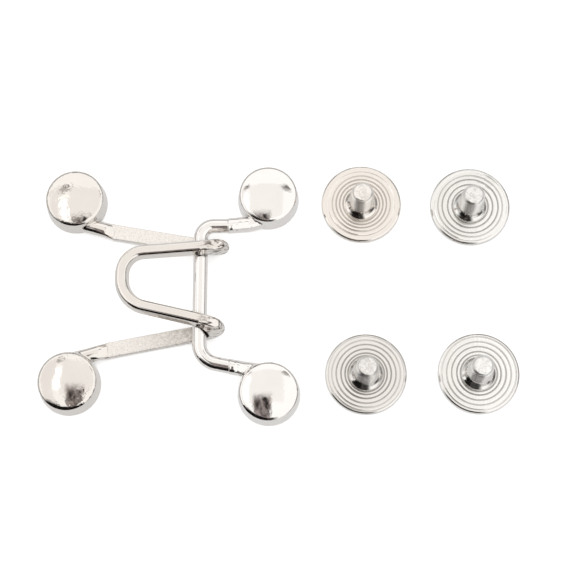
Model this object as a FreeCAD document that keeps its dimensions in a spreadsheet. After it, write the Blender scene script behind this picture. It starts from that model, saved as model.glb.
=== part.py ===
import FreeCAD, Part
import math
import os
import Sketcher

# Waist buckle for jeans: two die castings that hook together, and the four
# threaded backing studs that fasten them through the cloth.
# Millimetres, +Z up.  The buttons and the studs' discs stand on z = 0, and
# the origin is under the middle of the whole set.  +X runs from the hook
# casting to the studs, +Y towards the upper pair of buttons.

V = FreeCAD.Vector
doc = FreeCAD.newDocument("waist_buckle")

# ---------------------------------------------------------------- dimensions
sheet = doc.addObject("Spreadsheet::Sheet", "Sheet")
CELLS = [
    # button heads, all four alike: drafted side wall, rounded rim, low dome
    ("base_rad", 5.35), ("rim_rad", 5.05), ("rim_high", 3.95),
    ("rim_round", 0.45), ("dome_high", 0.85),
    # blind hole under each button, tapped for the stud (tapping size)
    ("bore_rad", 1.68), ("bore_deep", 3.70), ("bore_mouth", 0.3),
    # where the buttons stand
    ("hook_up_x", -35.65), ("hook_up_y", 16.40),
    ("hook_low_x", -35.80), ("hook_low_y", -16.00),
    ("bar_up_x", -1.90), ("bar_up_y", 17.05),
    ("bar_low_x", -1.70), ("bar_low_y", -17.80),
    # flat strips of the hook casting, centre lines at their two ends
    ("strip_floor", 0.20), ("strip_thick", 1.25),
    ("strip_wide_near", 2.72), ("strip_wide_far", 2.60),
    ("strip_up_x", -29.20), ("strip_up_y", 11.02),
    ("strip_low_x", -29.70), ("strip_low_y", -10.30),
    # slot between strips and tongue, in which the bar turns
    ("slot_gap", 3.00), ("slot_x", -13.45),
    # tongue: drafted section, flat on top
    ("tongue_thick", 1.90), ("tongue_foot", 2.55), ("tongue_draft", 11.5),
    ("tongue_left", -26.86), ("round_up", 3.90), ("round_low", 5.00),
    ("leg_up_slope", 4.55), ("leg_low_slope", 13.20),
    ("leg_up_y", 7.22), ("leg_low_y", -6.11), ("leg_x", -11.60),
    # bar and arms of the other casting, one round section
    ("bar_rad", 1.25), ("bar_high", 2.95), ("bar_x", -13.55),
    ("arm_up_y", 11.50), ("bend_up", 2.25), ("bend_low", 3.50),
    ("arm_low_slope", 11.30), ("arm_low_x", -8.40), ("arm_low_y", -13.40),
    ("arm_up_x", -8.80),
    # necks that join arms and strips to the buttons
    ("neck_rad", 1.36), ("neck_high", 1.95),
    ("hook_neck_rad", 1.30), ("hook_neck_high", 1.75),
    # backing studs
    ("disc_rad", 7.00), ("disc_thick", 1.00), ("disc_round", 0.35),
    ("ridge_high", 0.14), ("post_rad", 1.97), ("post_tip", 1.62),
    ("post_high", 7.44), ("foot_rad", 2.85), ("foot_high", 1.85),
    ("stud_ul_x", 14.45), ("stud_ul_y", 16.15),
    ("stud_ur_x", 33.55), ("stud_ur_y", 15.65),
    ("stud_ll_x", 14.90), ("stud_ll_y", -14.30),
    ("stud_lr_x", 34.15), ("stud_lr_y", -14.25),
]
for row, (alias, value) in enumerate(CELLS, start=1):
    sheet.set("A%d" % row, alias)
    sheet.set("B%d" % row, str(value))
    sheet.setAlias("B%d" % row, alias)
doc.recompute()
D = {alias: float(sheet.get(alias)) for alias, _ in CELLS}


# ------------------------------------------------------------------- helpers
def origin_plane(body, role):
    for item in body.Origin.OriginFeatures:
        if item.Role == role:
            return item
    raise RuntimeError("no plane " + role)


def new_body(label):
    body = doc.addObject("PartDesign::Body", label)
    body.Label = label
    return body


def new_sketch(body, name, role, base, base_expr=(None, None, None), rot=None):
    """Sketch on one of its own body's origin planes, moved by an offset."""
    sk = body.newObject("Sketcher::SketchObject", name)
    sk.AttachmentSupport = [(origin_plane(body, role), "")]
    sk.MapMode = "FlatFace"
    sk.AttachmentOffset = FreeCAD.Placement(V(*base), rot or FreeCAD.Rotation())
    for axis, expr in zip("xyz", base_expr):
        if expr:
            sk.setExpression("AttachmentOffset.Base." + axis, expr)
    return sk


def pin(sk, geo, pos, name, x_expr, y_expr):
    """Hold one point of a sketch at two expressions of the sheet."""
    p = sk.getPoint(geo, pos)
    if abs(p.x) > 1e-7:
        i = sk.addConstraint(Sketcher.Constraint("DistanceX", -1, 1, geo, pos, p.x))
        sk.renameConstraint(i, name + "_x")
        sk.setExpression("Constraints." + name + "_x", x_expr)
    else:
        sk.addConstraint(Sketcher.Constraint("PointOnObject", geo, pos, -2))
    if abs(p.y) > 1e-7:
        i = sk.addConstraint(Sketcher.Constraint("DistanceY", -1, 1, geo, pos, p.y))
        sk.renameConstraint(i, name + "_y")
        sk.setExpression("Constraints." + name + "_y", y_expr)
    else:
        sk.addConstraint(Sketcher.Constraint("PointOnObject", geo, pos, -1))


def value(expr):
    """The number an expression of the sheet gives, for a first placing."""
    text = expr
    for alias in sorted(D, key=len, reverse=True):
        text = text.replace("Sheet." + alias, "(%r)" % D[alias])
    return float(FreeCAD.Units.Quantity(text).Value)


def chain(sk, points, name):
    """Closed outline through points.  Each point is (x expr, y expr) or
    (x expr, y expr, radius expr, side): the edge that leaves it is then an
    arc of that radius, and side is the sign of its turn."""
    xy = [(value(p[0]), value(p[1])) for p in points]
    geos = []
    for i, p in enumerate(points):
        a, b = xy[i], xy[(i + 1) % len(xy)]
        if len(p) == 4:
            rad, side = value(p[2]), p[3]
            mx, my = (a[0] + b[0]) / 2, (a[1] + b[1]) / 2
            dx, dy = b[0] - a[0], b[1] - a[1]
            half = math.hypot(dx, dy) / 2
            up = math.sqrt(max(rad * rad - half * half, 0.0))
            cx = mx - side * dy / (2 * half) * up
            cy = my + side * dx / (2 * half) * up
            a0 = math.atan2(a[1] - cy, a[0] - cx)
            a1 = math.atan2(b[1] - cy, b[0] - cx)
            circ = Part.Circle(V(cx, cy, 0), V(0, 0, 1), rad)
            if side > 0:
                geos.append((sk.addGeometry(Part.ArcOfCircle(circ, a0, a1)), 1, 2, p[2]))
            else:
                geos.append((sk.addGeometry(Part.ArcOfCircle(circ, a1, a0)), 2, 1, p[2]))
        else:
            seg = Part.LineSegment(V(a[0], a[1], 0), V(b[0], b[1], 0))
            geos.append((sk.addGeometry(seg), 1, 2, None))
    n = len(geos)
    for i in range(n):
        g, h = geos[i], geos[(i + 1) % n]
        sk.addConstraint(Sketcher.Constraint("Coincident", g[0], g[2], h[0], h[1]))
    for i, g in enumerate(geos):
        pin(sk, g[0], g[1], "%s_%d" % (name, i), points[i][0], points[i][1])
        if g[3]:
            k = sk.addConstraint(Sketcher.Constraint("Radius", g[0], value(g[3])))
            sk.renameConstraint(k, "%s_rad_%d" % (name, i))
            sk.setExpression("Constraints.%s_rad_%d" % (name, i), g[3])
    return geos


def circle(sk, x_expr, y_expr, rad_expr, name):
    x, y, r = value(x_expr), value(y_expr), value(rad_expr)
    g = sk.addGeometry(Part.Circle(V(x, y, 0), V(0, 0, 1), r))
    k = sk.addConstraint(Sketcher.Constraint("Radius", g, r))
    sk.renameConstraint(k, name + "_rad")
    sk.setExpression("Constraints." + name + "_rad", rad_expr)
    pin(sk, g, 3, name, x_expr, y_expr)
    return g


def grown(body, before, feature, shrink=False):
    """A feature has to change the solid the way it is meant to."""
    doc.recompute()
    now = body.Shape.Volume
    if (now <= before + 1e-6) != shrink or abs(now - before) < 1e-6:
        raise RuntimeError("%s did not change %s: %.4f -> %.4f"
                           % (feature.Name, body.Label, before, now))
    return now


# -------------------------------------------------------------- button heads
def button(body, tag, cx, cy, volume):
    """Solid of revolution about a vertical axis through (cx, cy)."""
    sk = new_sketch(body, "button_profile_" + tag, "XZ_Plane",
                    (D[cx], 0, -D[cy]),
                    ("Sheet." + cx, None, "-Sheet." + cy))
    top = "(Sheet.rim_high + Sheet.dome_high)"
    crown = "(Sheet.rim_rad - Sheet.rim_round)"
    # radius of the low dome from its chord and height
    dome = "((%s * %s + Sheet.dome_high * Sheet.dome_high) / (2 * Sheet.dome_high))" % (crown, crown)
    chain(sk, [
        ("0", "0"),
        ("Sheet.base_rad", "0"),
        ("Sheet.base_rad", "0.25"),
        ("Sheet.rim_rad", "Sheet.rim_high - Sheet.rim_round", "Sheet.rim_round * 1.06", 1),
        (crown, "Sheet.rim_high", dome, 1),
        ("0", top),
    ], "outline")
    rev = body.newObject("PartDesign::Revolution", "button_" + tag)
    rev.Profile = sk
    rev.ReferenceAxis = (sk, ["V_Axis"])
    rev.Angle = 360.0
    return grown(body, volume, rev)


def bore(body, tag, cx, cy, volume):
    """Blind tapped hole in the underside, with a small countersunk mouth."""
    sk = new_sketch(body, "bore_profile_" + tag, "XZ_Plane",
                    (D[cx], 0, -D[cy]),
                    ("Sheet." + cx, None, "-Sheet." + cy))
    chain(sk, [
        ("0", "0"),
        ("Sheet.bore_rad + Sheet.bore_mouth", "0"),
        ("Sheet.bore_rad", "Sheet.bore_mouth"),
        ("Sheet.bore_rad", "Sheet.bore_deep - 0.55"),
        ("0", "Sheet.bore_deep"),
    ], "hole")
    cut = body.newObject("PartDesign::Groove", "bore_" + tag)
    cut.Profile = sk
    cut.ReferenceAxis = (sk, ["V_Axis"])
    cut.Angle = 360.0
    return grown(body, volume, cut, shrink=True)


# ------------------------------------------------------------- hook casting
hook = new_body("hook_half")
vol = 0.0
vol = button(hook, "upper_left", "hook_up_x", "hook_up_y", vol)
vol = button(hook, "lower_left", "hook_low_x", "hook_low_y", vol)

# flat strips that run under the bar
UP_SLOPE, LOW_SLOPE = -0.169, 0.193


def strip(tag, sx, sy, slope, volume):
    sk = new_sketch(hook, "strip_outline_" + tag, "XY_Plane",
                    (0, 0, D["strip_floor"]), (None, None, "Sheet.strip_floor"))
    run = "(Sheet.slot_x + 0.9 - Sheet.%s)" % sx
    x0, x1 = "(Sheet.%s)" % sx, "(Sheet.slot_x + 0.9)"
    y0 = "(Sheet.%s)" % sy
    y1 = "(Sheet.%s + (%r) * %s)" % (sy, slope, run)
    k = 1.0 / (2.0 * math.cos(math.atan(slope)))
    n0 = "(Sheet.strip_wide_near * %r)" % k
    n1 = "(Sheet.strip_wide_far * %r)" % k
    chain(sk, [(x0, "%s - %s" % (y0, n0)), (x1, "%s - %s" % (y1, n1)),
               (x1, "%s + %s" % (y1, n1)), (x0, "%s + %s" % (y0, n0))], "edge")
    pad = hook.newObject("PartDesign::Pad", "strip_" + tag)
    pad.Profile = sk
    pad.Length = D["strip_thick"]
    pad.setExpression("Length", "Sheet.strip_thick")
    return grown(hook, volume, pad)


vol = strip("upper", "strip_up_x", "strip_up_y", UP_SLOPE, vol)
vol = strip("lower", "strip_low_x", "strip_low_y", LOW_SLOPE, vol)

# necks: round at the button's wall, sinking into the flat strip
YZ = FreeCAD.Rotation(V(0, 1, 0), V(0, 0, 1), V(1, 0, 0), "XYZ")


def hook_neck(tag, stations, volume):
    """Loft through rounded sections that face along X; each station is
    (x, y, z, half width, half height)."""
    sections = []
    for i, (x, y, z, hw, hh) in enumerate(stations):
        sk = new_sketch(hook, "neck_%s_%d" % (tag, i), "XY_Plane",
                        (value(x), value(y), value(z)), (x, y, z), YZ)
        major, minor = max(value(hw), value(hh)), min(value(hw), value(hh))
        if value(hw) >= value(hh):
            e = Part.Ellipse(V(major, 0, 0), V(0, minor, 0), V(0, 0, 0))
        else:
            e = Part.Ellipse(V(0, major, 0), V(-minor, 0, 0), V(0, 0, 0))
        g = sk.addGeometry(e)
        sk.addConstraint(Sketcher.Constraint("Coincident", g, 3, -1, 1))
        sk.addConstraint(Sketcher.Constraint("Block", g))
        sections.append(sk)
    loft = hook.newObject("PartDesign::AdditiveLoft", "neck_" + tag)
    loft.Profile = sections[0]
    loft.Sections = sections[1:]
    loft.Ruled = False
    return grown(hook, volume, loft)


mid = "(Sheet.strip_floor + Sheet.strip_thick / 2)"
vol = hook_neck("upper", [
    ("-34.6", "12.25", "Sheet.hook_neck_high", "Sheet.hook_neck_rad", "Sheet.hook_neck_rad"),
    ("-32.6", "11.78", "Sheet.hook_neck_high - 0.25", "Sheet.hook_neck_rad", "Sheet.hook_neck_rad - 0.02"),
    ("-30.6", "11.33", "1.36", "Sheet.hook_neck_rad + 0.02", "1.08"),
    ("-28.85", "10.97", mid, "Sheet.strip_wide_near / 2 + 0.06", "0.70")], vol)
vol = hook_neck("lower", [
    ("-34.8", "-11.80", "Sheet.hook_neck_high", "Sheet.hook_neck_rad", "Sheet.hook_neck_rad"),
    ("-33.0", "-11.28", "Sheet.hook_neck_high - 0.25", "Sheet.hook_neck_rad", "Sheet.hook_neck_rad - 0.02"),
    ("-31.1", "-10.72", "1.36", "Sheet.hook_neck_rad + 0.02", "1.08"),
    ("-29.35", "-10.24", mid, "Sheet.strip_wide_near / 2 + 0.06", "0.70")], vol)

# tongue: a drafted U, closed at the left, over the bar
au, al = math.radians(D["leg_up_slope"]), math.radians(D["leg_low_slope"])
hw = "(Sheet.tongue_foot / 2)"
cu_x = "(Sheet.tongue_left + Sheet.round_up)"
cl_x = "(Sheet.tongue_left + Sheet.round_low)"
# centres of the two corner rounds, from the legs' lines
cu_y = "(Sheet.leg_up_y + %r * (%s - Sheet.leg_x) - Sheet.round_up / %r)" % (
    math.tan(au), cu_x, math.cos(au))
cl_y = "(Sheet.leg_low_y - %r * (%s - Sheet.leg_x) + Sheet.round_low / %r)" % (
    math.tan(al), cl_x, math.cos(al))


def on_up(rad, sign=1.0):
    return ("(%s - %r * %s)" % (cu_x, math.sin(au), rad),
            "(%s + %r * %s)" % (cu_y, math.cos(au), rad))


def on_low(rad):
    return ("(%s - %r * %s)" % (cl_x, math.sin(al), rad),
            "(%s - %r * %s)" % (cl_y, math.cos(al), rad))


ro_u, ri_u = "(Sheet.round_up + %s)" % hw, "(Sheet.round_up - %s)" % hw
ro_l, ri_l = "(Sheet.round_low + %s)" % hw, "(Sheet.round_low - %s)" % hw
end_x = "(Sheet.slot_x + 0.35)"
tongue_sk = new_sketch(hook, "tongue_outline", "XY_Plane",
                       (0, 0, D["strip_floor"] + D["strip_thick"] + D["slot_gap"]),
                       (None, None, "Sheet.strip_floor + Sheet.strip_thick + Sheet.slot_gap"))
up_line = "(Sheet.leg_up_y + %r * (%s - Sheet.leg_x))" % (math.tan(au), end_x)
low_line = "(Sheet.leg_low_y - %r * (%s - Sheet.leg_x))" % (math.tan(al), end_x)
chain(tongue_sk, [
    (end_x, "%s + %s / %r" % (up_line, hw, math.cos(au))),
    on_up(ro_u) + (ro_u, 1),
    ("(%s - %s)" % (cu_x, ro_u), cu_y),
    ("(%s - %s)" % (cl_x, ro_l), cl_y, ro_l, 1),
    on_low(ro_l),
    (end_x, "%s - %s / %r" % (low_line, hw, math.cos(al))),
    (end_x, "%s + %s / %r" % (low_line, hw, math.cos(al))),
    on_low(ri_l) + (ri_l, -1),
    ("(%s - %s)" % (cl_x, ri_l), cl_y),
    ("(%s - %s)" % (cu_x, ri_u), cu_y, ri_u, -1),
    on_up(ri_u),
    (end_x, "%s - %s / %r" % (up_line, hw, math.cos(au))),
], "tongue")
tongue = hook.newObject("PartDesign::Pad", "tongue")
tongue.Profile = tongue_sk
tongue.Length = D["tongue_thick"]
tongue.setExpression("Length", "Sheet.tongue_thick")
tongue.TaperAngle = -D["tongue_draft"]
tongue.setExpression("TaperAngle", "-Sheet.tongue_draft")
vol = grown(hook, vol, tongue)

# bends: each rises from a strip, round the end of the slot, into the tongue.
# Station: angle, inner radius, outer radius, y, half widths inside/mid/outside
BEND_UP = [(-90, 1.50, 2.75, 8.36, 1.30, 1.31, 1.24),
           (-60, 1.50, 3.17, 8.14, 1.33, 1.36, 1.14),
           (-30, 1.50, 4.02, 7.84, 1.36, 1.38, 0.98),
           (0, 1.50, 4.86, 7.62, 1.36, 1.38, 0.86),
           (30, 1.50, 4.78, 7.42, 1.34, 1.34, 0.84),
           (60, 1.50, 3.92, 7.22, 1.30, 1.22, 0.86),
           (90, 1.50, 3.40, 7.07, 1.275, 1.11, 0.89)]
BEND_LOW = [(-90, 1.50, 2.75, -7.14, 1.30, 1.31, 1.24),
            (-60, 1.50, 3.12, -6.96, 1.33, 1.36, 1.14),
            (-30, 1.50, 3.72, -6.84, 1.36, 1.38, 0.96),
            (0, 1.50, 4.26, -6.72, 1.36, 1.36, 0.82),
            (30, 1.50, 4.28, -6.50, 1.34, 1.32, 0.80),
            (60, 1.50, 3.80, -6.14, 1.30, 1.22, 0.86),
            (90, 1.50, 3.40, -5.72, 1.275, 1.11, 0.89)]


def bend(tag, stations, volume):
    slot_z = "(Sheet.strip_floor + Sheet.strip_thick + Sheet.slot_gap / 2)"
    sections = []
    for i, (deg, r0, r1, yc, w0, w1, w2) in enumerate(stations):
        a = math.radians(deg)
        rad = V(math.cos(a), 0, math.sin(a))
        rot = FreeCAD.Rotation(V(0, 1, 0), rad, V(0, 1, 0).cross(rad), "XYZ")
        sk = new_sketch(hook, "bend_%s_%d" % (tag, i), "XY_Plane",
                        (D["slot_x"], yc, value(slot_z)),
                        ("Sheet.slot_x", None, slot_z), rot)
        inner = "(Sheet.slot_gap / 2)"
        outer = "(Sheet.slot_gap / 2 + %r)" % (r1 - r0)
        rm = "(Sheet.slot_gap / 2 + %r)" % (0.42 * (r1 - r0))
        chain(sk, [(repr(-w0), inner), (repr(w0), inner), (repr(w1), rm),
                   (repr(w2), outer), (repr(-w2), outer), (repr(-w1), rm)], "s")
        sections.append(sk)
    loft = hook.newObject("PartDesign::AdditiveLoft", "bend_" + tag)
    loft.Profile = sections[0]
    loft.Sections = sections[1:]
    loft.Ruled = False
    return grown(hook, volume, loft)


vol = bend("upper", BEND_UP, vol)
vol = bend("lower", BEND_LOW, vol)
vol = bore(hook, "upper_left", "hook_up_x", "hook_up_y", vol)
vol = bore(hook, "lower_left", "hook_low_x", "hook_low_y", vol)

# -------------------------------------------------------------- bar casting
bar = new_body("bar_half")
vol = 0.0
vol = button(bar, "upper_right", "bar_up_x", "bar_up_y", vol)
vol = button(bar, "lower_right", "bar_low_x", "bar_low_y", vol)

# one round rod: upper arm, bend, bar, bend, lower arm
path = new_sketch(bar, "rod_path", "XY_Plane", (0, 0, D["bar_high"]),
                  (None, None, "Sheet.bar_high"))
bl = math.radians(D["arm_low_slope"])
ux, uy = D["bar_x"] + D["bend_up"], D["arm_up_y"] - D["bend_up"]
lx = D["bar_x"] + D["bend_low"]
ly = (D["arm_low_y"] - math.tan(bl) * (lx - D["arm_low_x"])
      + D["bend_low"] / math.cos(bl))
tx, ty = lx - D["bend_low"] * math.sin(bl), ly - D["bend_low"] * math.cos(bl)
g0 = path.addGeometry(Part.LineSegment(V(D["arm_up_x"] + 0.6, D["arm_up_y"], 0), V(ux, D["arm_up_y"], 0)))
g1 = path.addGeometry(Part.ArcOfCircle(Part.Circle(V(ux, uy, 0), V(0, 0, 1), D["bend_up"]),
                                       math.pi / 2, math.pi))
g2 = path.addGeometry(Part.LineSegment(V(D["bar_x"], uy, 0), V(D["bar_x"], ly, 0)))
g3 = path.addGeometry(Part.ArcOfCircle(Part.Circle(V(lx, ly, 0), V(0, 0, 1), D["bend_low"]),
                                       math.pi, math.pi + math.pi / 2 - bl))
g4 = path.addGeometry(Part.LineSegment(V(tx, ty, 0),
                                       V(D["arm_low_x"] + 0.6, D["arm_low_y"] - math.tan(bl) * 0.6, 0)))
path.addConstraint(Sketcher.Constraint("Horizontal", g0))
path.addConstraint(Sketcher.Constraint("Vertical", g2))
path.addConstraint(Sketcher.Constraint("Tangent", g0, 2, g1, 1))
path.addConstraint(Sketcher.Constraint("Tangent", g1, 2, g2, 1))
path.addConstraint(Sketcher.Constraint("Tangent", g2, 2, g3, 1))
path.addConstraint(Sketcher.Constraint("Tangent", g3, 2, g4, 1))
for geo, alias in ((g1, "bend_up"), (g3, "bend_low")):
    k = path.addConstraint(Sketcher.Constraint("Radius", geo, D[alias]))
    path.renameConstraint(k, alias)
    path.setExpression("Constraints." + alias, "Sheet." + alias)
pin(path, g0, 1, "arm_end", "Sheet.arm_up_x + 0.6", "Sheet.arm_up_y")
k = path.addConstraint(Sketcher.Constraint("DistanceX", -1, 1, g2, 1, D["bar_x"]))
path.renameConstraint(k, "bar_x")
path.setExpression("Constraints.bar_x", "Sheet.bar_x")
pin(path, g4, 2, "low_end", "Sheet.arm_low_x + 0.6", "Sheet.arm_low_y - %r" % (math.tan(bl) * 0.6))

section = new_sketch(bar, "rod_section", "XY_Plane",
                     (D["arm_up_x"] + 0.6, D["arm_up_y"], D["bar_high"]),
                     ("Sheet.arm_up_x + 0.6", "Sheet.arm_up_y", "Sheet.bar_high"), YZ)
circle(section, "0", "0", "Sheet.bar_rad", "rod")
rod = bar.newObject("PartDesign::AdditivePipe", "rod")
rod.Profile = section
rod.Spine = (path, ["Edge1", "Edge2", "Edge3", "Edge4", "Edge5"])
vol = grown(bar, vol, rod)
want = math.pi * D["bar_rad"] ** 2 * path.Shape.Length


def bar_neck(tag, stations, volume):
    sections = []
    for i, (x, y, z, r) in enumerate(stations):
        sk = new_sketch(bar, "neck_%s_%d" % (tag, i), "XY_Plane",
                        (value(x), value(y), value(z)), (x, y, z), YZ)
        circle(sk, "0", "0", r, "neck")
        sections.append(sk)
    loft = bar.newObject("PartDesign::AdditiveLoft", "neck_" + tag)
    loft.Profile = sections[0]
    loft.Sections = sections[1:]
    loft.Ruled = False
    return grown(bar, volume, loft)


vol = bar_neck("upper", [
    ("Sheet.arm_up_x", "Sheet.arm_up_y", "Sheet.bar_high", "Sheet.bar_rad + 0.10"),
    ("-7.0", "11.75", "2.60", "Sheet.neck_rad"),
    ("-4.9", "12.15", "Sheet.neck_high", "Sheet.neck_rad"),
    ("-2.9", "12.75", "Sheet.neck_high - 0.1", "Sheet.neck_rad")], vol)
vol = bar_neck("lower", [
    ("Sheet.arm_low_x", "Sheet.arm_low_y", "Sheet.bar_high", "Sheet.bar_rad + 0.10"),
    ("-6.8", "-13.62", "2.60", "Sheet.neck_rad - 0.04"),
    ("-4.9", "-13.80", "Sheet.neck_high", "Sheet.neck_rad - 0.04"),
    ("-3.2", "-14.05", "Sheet.neck_high - 0.1", "Sheet.neck_rad - 0.04")], vol)
vol = bore(bar, "upper_right", "bar_up_x", "bar_up_y", vol)
vol = bore(bar, "lower_right", "bar_low_x", "bar_low_y", vol)

# ------------------------------------------------------------ backing studs
RINGS = (3.20, 3.88, 4.56, 5.24, 5.92)      # radii of the gripping ridges


def stud(label, cx, cy):
    """Turned and thread-rolled: ridged disc, flared foot, chamfered post."""
    body = new_body(label)
    sk = new_sketch(body, label + "_profile", "XZ_Plane", (D[cx], 0, -D[cy]),
                    ("Sheet." + cx, None, "-Sheet." + cy))
    top = "(Sheet.disc_thick - Sheet.ridge_high)"
    pts = [("0", "0"),
           ("Sheet.disc_rad - Sheet.disc_round", "0", "Sheet.disc_round", 1),
           ("Sheet.disc_rad", "Sheet.disc_round"),
           ("Sheet.disc_rad", "%s - 0.2" % top, "0.2", 1),
           ("Sheet.disc_rad - 0.2", top)]
    for r in reversed(RINGS):
        pts.append((repr(r + 0.30), top))
        pts.append((repr(r + 0.07), "Sheet.disc_thick"))
        pts.append((repr(r - 0.07), "Sheet.disc_thick"))
        pts.append((repr(r - 0.30), top))
    pts += [("Sheet.foot_rad", top),
            ("Sheet.post_rad", "Sheet.foot_high"),
            ("Sheet.post_rad", "Sheet.post_high - 0.4"),
            ("Sheet.post_tip", "Sheet.post_high"),
            ("0", "Sheet.post_high")]
    chain(sk, pts, "turn")
    rev = body.newObject("PartDesign::Revolution", label + "_turned")
    rev.Profile = sk
    rev.ReferenceAxis = (sk, ["V_Axis"])
    rev.Angle = 360.0
    grown(body, 0.0, rev)
    return body


studs = [stud("stud_upper_inner", "stud_ul_x", "stud_ul_y"),
         stud("stud_upper_outer", "stud_ur_x", "stud_ur_y"),
         stud("stud_lower_inner", "stud_ll_x", "stud_ll_y"),
         stud("stud_lower_outer", "stud_lr_x", "stud_lr_y")]

# --------------------------------------------------------- test and write
doc.recompute()
for obj in doc.Objects:
    if any(word in ("Invalid", "Error") for word in obj.State):
        raise RuntimeError("%s is in state %s" % (obj.Label, obj.State))
os.makedirs("parts", exist_ok=True)
whole = None
for piece in [hook, bar] + studs:
    shape = piece.Shape
    if shape.isNull() or not shape.isValid() or len(shape.Solids) != 1:
        raise RuntimeError("%s has no single valid solid" % piece.Label)
    box = shape.optimalBoundingBox(False, False)
    whole = box if whole is None else whole.united(box)
    print("%-18s volume %8.2f mm3  x %7.2f..%6.2f  y %7.2f..%6.2f  z %5.2f..%5.2f"
          % (piece.Label, shape.Volume, box.XMin, box.XMax, box.YMin, box.YMax, box.ZMin, box.ZMax))
    shape.exportStep("parts/%s.step" % piece.Label)
print("whole x %.3f..%.3f y %.3f..%.3f z %.3f..%.3f"
      % (whole.XMin, whole.XMax, whole.YMin, whole.YMax, whole.ZMin, whole.ZMax))
gap = hook.Shape.distToShape(bar.Shape)[0]
both = hook.Shape.common(bar.Shape).Volume
print("gap between the castings %.3f mm, overlap %.5f mm3" % (gap, both))
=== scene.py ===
import math

import bpy
import numpy as np
from mathutils import Matrix, Vector


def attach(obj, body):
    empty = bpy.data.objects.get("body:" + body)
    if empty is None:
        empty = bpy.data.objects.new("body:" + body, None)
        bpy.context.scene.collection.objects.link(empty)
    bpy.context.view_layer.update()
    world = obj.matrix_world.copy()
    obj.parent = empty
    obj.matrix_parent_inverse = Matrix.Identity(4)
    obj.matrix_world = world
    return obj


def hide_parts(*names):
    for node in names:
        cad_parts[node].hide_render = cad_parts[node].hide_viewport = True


# Waist buckle for jeans: two polished castings hooked together, and four
# backing studs.  Shapes below are worked out in millimetres, +Z up, in the
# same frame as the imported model, and turned into metres when a mesh is made.

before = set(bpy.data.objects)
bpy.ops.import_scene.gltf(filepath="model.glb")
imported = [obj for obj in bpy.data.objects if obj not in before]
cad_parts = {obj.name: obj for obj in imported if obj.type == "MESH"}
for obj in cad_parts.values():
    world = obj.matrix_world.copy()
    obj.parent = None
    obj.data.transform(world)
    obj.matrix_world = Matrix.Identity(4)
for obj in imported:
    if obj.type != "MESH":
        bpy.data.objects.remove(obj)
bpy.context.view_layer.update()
MM = 0.001
f32 = np.float32


# ------------------------------------------------------------------ distances
def smin(a, b, k):
    """Union of two solids with a fillet about k wide."""
    h = np.clip(0.5 + 0.5 * (b - a) / k, 0.0, 1.0)
    return b + (a - b) * h - k * h * (1.0 - h)


def rmax(a, b, r):
    """Intersection of two solids with the shared edge rounded to radius r."""
    return (np.minimum(-r, np.maximum(a, b))
            + np.hypot(np.maximum(a + r, 0.0), np.maximum(b + r, 0.0)))


def smooth_table(t, values, n=97):
    """Monotone cubic through the stations, sampled finely for np.interp."""
    t, v = np.asarray(t, float), np.asarray(values, float)
    h = np.diff(t)
    s = np.diff(v) / h
    m = np.zeros_like(v)
    m[0], m[-1] = s[0], s[-1]
    for i in range(1, len(v) - 1):
        if s[i - 1] * s[i] > 0:
            w1, w2 = 2 * h[i] + h[i - 1], h[i] + 2 * h[i - 1]
            m[i] = (w1 + w2) / (w1 / s[i - 1] + w2 / s[i])
    x = np.linspace(t[0], t[-1], n)
    i = np.clip(np.searchsorted(t, x, side="right") - 1, 0, len(h) - 1)
    u = (x - t[i]) / h[i]
    y = ((2 * u**3 - 3 * u**2 + 1) * v[i] + (u**3 - 2 * u**2 + u) * h[i] * m[i]
         + (-2 * u**3 + 3 * u**2) * v[i + 1] + (u**3 - u**2) * h[i] * m[i + 1])
    return x, y


def look_up(x, table):
    return np.interp(x, table[0], table[1]).astype(x.dtype, copy=False)


# -------------------------------------------------------------- button heads
DOME_RAD = (4.60**2 + 0.85**2) / (2 * 0.85)


def button(x, y, z, cx, cy):
    r = np.hypot(x - cx, y - cy)
    wall = np.maximum((r - 5.35) * 0.9958 + (z - 0.25) * 0.0919, r - 5.35)
    dome = np.hypot(r, z - (4.80 - DOME_RAD)) - DOME_RAD
    rim = (r - 5.03) * 0.682 + (z - 3.60) * 0.731        # narrow bevel
    return rmax(rmax(rmax(wall, rim, 0.07), dome, 0.09), -z, 0.17)


def tapped_hole(x, y, z, cx, cy):
    """Blind hole with a countersunk mouth and a right-hand M4 thread."""
    dx, dy = x - cx, y - cy
    r = np.hypot(dx, dy)
    turn = np.arctan2(dy, dx) / (2 * np.pi)
    tooth = np.abs(np.mod(z / 0.7 - turn, 1.0) - 0.5) * 2.0
    fade = np.clip((3.0 - z) / 0.35, 0.0, 1.0)
    rad = 1.68 + 0.30 * np.clip(tooth * 1.25 - 0.12, 0.0, 1.0) * fade
    wall = (r - rad) * 0.75
    mouth = (r - 2.06 + z) * 0.707
    end = ((z - 3.70) * 1.68 + r * 0.55) / 1.768
    return np.maximum(np.minimum(wall, mouth), end)


def stations(rows):
    """Tables of centre and half sizes along X for a neck."""
    rows = sorted(rows)
    xs = [r[0] for r in rows]
    return [smooth_table(xs, [r[i] for r in rows]) for i in (1, 2, 3, 4)], xs[0], xs[-1]


def neck(x, y, z, data):
    (ty, tz, tw, th), x0, x1 = data
    w, h = look_up(x, tw), look_up(x, th)
    u, v = (y - look_up(x, ty)) / w, (z - look_up(x, tz)) / h
    d = (np.hypot(u, v) - 1.0) * np.minimum(w, h) * 0.96
    return rmax(d, np.maximum(x0 - x, x - x1), 0.06)


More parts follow.
